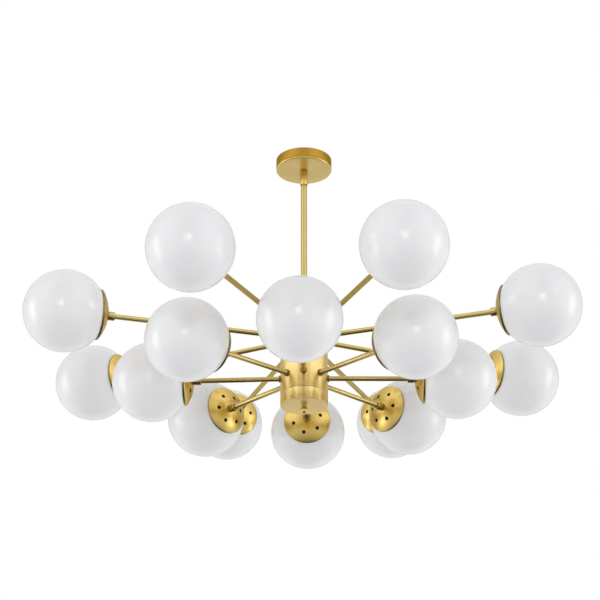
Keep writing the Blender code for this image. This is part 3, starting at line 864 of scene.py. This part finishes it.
def clip_mesh():
    """Three sprung prongs on their plate, which hold the globe."""
    shape = bmesh.new()
    add_clip_plate(shape)
    for k in range(3):
        add_prong(shape, Matrix.Rotation(math.radians(90 + 120 * k), 4, "Z"))
    return to_mesh("globe_clips", shape, 35)


def bulb_mesh():
    """Two-pin capsule lamp: glass body on a pinched foot."""
    foot = -CAP_INNER_RADIUS + HOLDER_LENGTH + 0.4 * MM
    tip = foot + LAMP_LENGTH
    steps = 10
    turns = (math.pi / 2 * (1 - i / steps) for i in range(steps + 1))
    centre = tip - LAMP_RADIUS
    dome = [(LAMP_RADIUS * math.cos(turn), centre + LAMP_RADIUS * math.sin(turn)) for turn in turns]
    dome[0] = (0, tip)
    pinched = [(LAMP_RADIUS, foot + 9 * MM), (6.2 * MM, foot + 6 * MM), (6.0 * MM, foot), (0, foot)]
    return lathe("capsule_lamp", dome + pinched, SMALL, closed=False, sharp=50)


def globe_mesh(matrix):
    """Blown globe, open at its mouth, where the edge is ground round. Turned into place in the mesh."""
    mouth = math.pi - math.asin(MOUTH_RADIUS / GLOBE_RADIUS)
    steps = 44
    inner = GLOBE_RADIUS - GLOBE_WALL
    turns = [mouth * i / steps for i in range(steps + 1)]
    outside = [(GLOBE_RADIUS * math.sin(turn), GLOBE_RADIUS * math.cos(turn)) for turn in turns]
    inside = [(inner * math.sin(turn), inner * math.cos(turn)) for turn in reversed(turns)]
    edge_r = (outside[-1][0] + inside[0][0]) / 2 - 0.5 * MM
    edge_z = (outside[-1][1] + inside[0][1]) / 2 - 0.7 * MM
    profile = [(0, GLOBE_RADIUS), *outside[1:], (edge_r, edge_z), *inside[:-1], (0, inner)]
    mesh = lathe("opal_globe", profile, GLOBE_FACETS, closed=False, sharp=60)
    mesh.materials.append(opal)
    mesh.materials.append(opal_inside)
    # The inner faces take the glowing opal: painted light
    for face in mesh.polygons:
        if face.center.length < GLOBE_RADIUS - 1.5 * MM:
            face.material_index = 1
    mesh.transform(matrix)
    return mesh


def build_arms():
    """Each arm with its cap, lampholder, clips and lamp, all fixed, and its globe, which pulls off."""
    dish, holder, clips, bulb = cap_mesh(), lampholder_mesh(), clip_mesh(), bulb_mesh()
    tubes = {}
    for arm in arms:
        label, place = arm["label"], arm["place"]
        tier = label.split("_")[0]
        if tier not in tubes:
            tubes[tier] = arm_mesh("arm_tube_" + tier, arm["reach"])
        centre = place @ Matrix.Translation((0, 0, arm["reach"]))
        turned = centre @ Matrix.Rotation(VENT_TURN.get(label, 0.0), 4, "Z")
        piece("arm_tube_" + label, tubes[tier], satin, "root", ["arm_" + label], place)
        piece("cap_dish_" + label, dish, polished, "root", ["cap_" + label], turned)
        piece("lampholder_" + label, holder, ceramic, "root", [], turned)
        # The clips' dark plate behind the vents paints the shade seen through them
        piece("globe_clips_" + label, clips, blackened_vent_shade, "root", [], turned)
        piece("capsule_lamp_" + label, bulb, lamp_glass, "root", [], turned)
        globe = globe_mesh(centre.to_3x3().to_4x4())
        piece("opal_globe_" + label, globe, opal, arm["body"], ["globe_" + label],
              Matrix.Translation(centre.translation))


# ---------------------------------------------------------------- stage, light and camera

def build_stage():
    """Pale floor that fades into white away from the lamp. It sends the metal and the opal glass no light."""
    shape = bmesh.new()
    bmesh.ops.create_circle(shape, cap_ends=True, segments=FINE, radius=FLOOR_RADIUS)
    mesh = bpy.data.meshes.new("floor")
    shape.to_mesh(mesh)
    shape.free()
    floor = bpy.data.objects.new("floor", mesh)
    bpy.context.scene.collection.objects.link(floor)
    floor.location.z = FLOOR_HEIGHT
    make = Finish("pale_floor")
    coords = make.coordinates()
    grain = make.noise(coords, scale=3.0)
    away = make.add("ShaderNodeVectorMath", operation="LENGTH")
    make.link(coords, away.inputs[0])
    fade = make.smooth(away.outputs["Value"], FADE_STARTS, FADE_ENDS, 0, 1)
    near = make.blend(grain, (0.95, 0.95, 0.95), (0.92, 0.92, 0.92))
    make.link(make.blend(fade, near, (0.0, 0.0, 0.0)), make.shader.inputs["Base Color"])
    make.link(fade, make.shader.inputs["Emission Strength"])
    make.set(Roughness=0.8, Emission_Color=(1.0, 1.0, 1.0, 1.0))
    mesh.materials.append(make.material)
    floor.visible_glossy = False
    floor.visible_diffuse = False


def tones(make, height, table):
    """Brightness by height, read off a table of (height, brightness)."""
    ramp = make.add("ShaderNodeValToRGB")
    make.link(make.between(height, -1, 1, 0, 1), ramp.inputs["Fac"])
    stops = ramp.color_ramp.elements
    for stop, (at, grey) in zip((stops[0], stops[1]), (table[0], table[-1])):
        stop.position, stop.color = (at + 1) / 2, (grey, grey, grey, 1)
    for at, grey in table[1:-1]:
        stops.new((at + 1) / 2).color = (grey, grey, grey, 1)
    return ramp.outputs["Color"]


def build_world():
    """White where the camera looks; else a pale room, dim in front, with two soft panels and a small lamp."""
    world = bpy.data.worlds.new("studio")
    bpy.context.scene.world = world
    world.use_nodes = True
    make = Nodes(world.node_tree)
    make.tree.nodes.clear()
    split = make.add("ShaderNodeSeparateXYZ")
    make.link(make.add("ShaderNodeTexCoord").outputs["Generated"], split.inputs[0])
    x, y, z = split.outputs
    front = make.maths("MULTIPLY", y, -1.0)
    azimuth = make.maths("ARCTAN2", make.maths("ABSOLUTE", x, 0), front)

    ahead = make.smooth(azimuth, FRONT_ENDS, SIDE_STARTS, 1, 0)
    behind = make.smooth(azimuth, SIDE_ENDS, BACK_STARTS, 0, 1)
    room = make.blend(ahead, tones(make, z, SIDE_TONES), tones(make, z, FRONT_TONES))
    room = make.blend(behind, room, tones(make, z, BACK_TONES))

    off_panel = make.maths("ABSOLUTE", make.maths("SUBTRACT", azimuth, PANEL_AZIMUTH), 0)
    across = make.smooth(off_panel, PANEL_HALF_WIDTH, PANEL_HALF_WIDTH + PANEL_EDGE, PANEL_GLOW, 0)
    above_foot = make.smooth(z, PANEL_FOOT - PANEL_FADE, PANEL_FOOT, 0, 1)
    below_top = make.smooth(z, PANEL_TOP, PANEL_TOP + PANEL_FADE, 1, 0)
    panel = make.maths("MULTIPLY", across, make.maths("MULTIPLY", above_foot, below_top))
    key = make.smooth(front, math.cos(KEY_RADIUS + KEY_EDGE), math.cos(KEY_RADIUS), 0, KEY_GLOW)
    soft = make.maths("MULTIPLY", tones(make, z, SOFT_TONES), make.between(ahead, 0, 1, 1.0, FRONT_SOFTNESS))
    ray = make.add("ShaderNodeLightPath")
    light = make.blend(ray.outputs["Is Diffuse Ray"], room, soft)
    light = make.maths("ADD", light, make.maths("ADD", panel, key))
    light = make.blend(ray.outputs["Is Camera Ray"], light, (1.0, 1.0, 1.0))

    glow = make.add("ShaderNodeBackground")
    make.link(light, glow.inputs["Color"])
    make.link(glow.outputs[0], make.add("ShaderNodeOutputWorld").inputs["Surface"])


def build_camera():
    data = bpy.data.cameras.new("camera")
    data.lens = CAMERA_LENS
    data.sensor_width = SENSOR_WIDTH
    data.clip_start = 0.1
    data.clip_end = 100.0
    camera = bpy.data.objects.new("camera", data)
    bpy.context.scene.collection.objects.link(camera)
    aside, ahead = math.sin(CAMERA_AZIMUTH), math.cos(CAMERA_AZIMUTH)
    camera.location = (CAMERA_DISTANCE * aside, -CAMERA_DISTANCE * ahead, CAMERA_HEIGHT)
    camera.rotation_euler = (math.pi / 2 + CAMERA_PITCH, 0, CAMERA_AZIMUTH + CAMERA_YAW)
    bpy.context.scene.camera = camera


build_camera()
arms = read_arms()
build_canopy()
build_canopy_collar()
build_down_rod()
build_hub()
build_finial()
build_hidden_hardware()
build_arms()
build_stage()
build_world()
bpy.context.scene.view_settings.view_transform = "Standard"
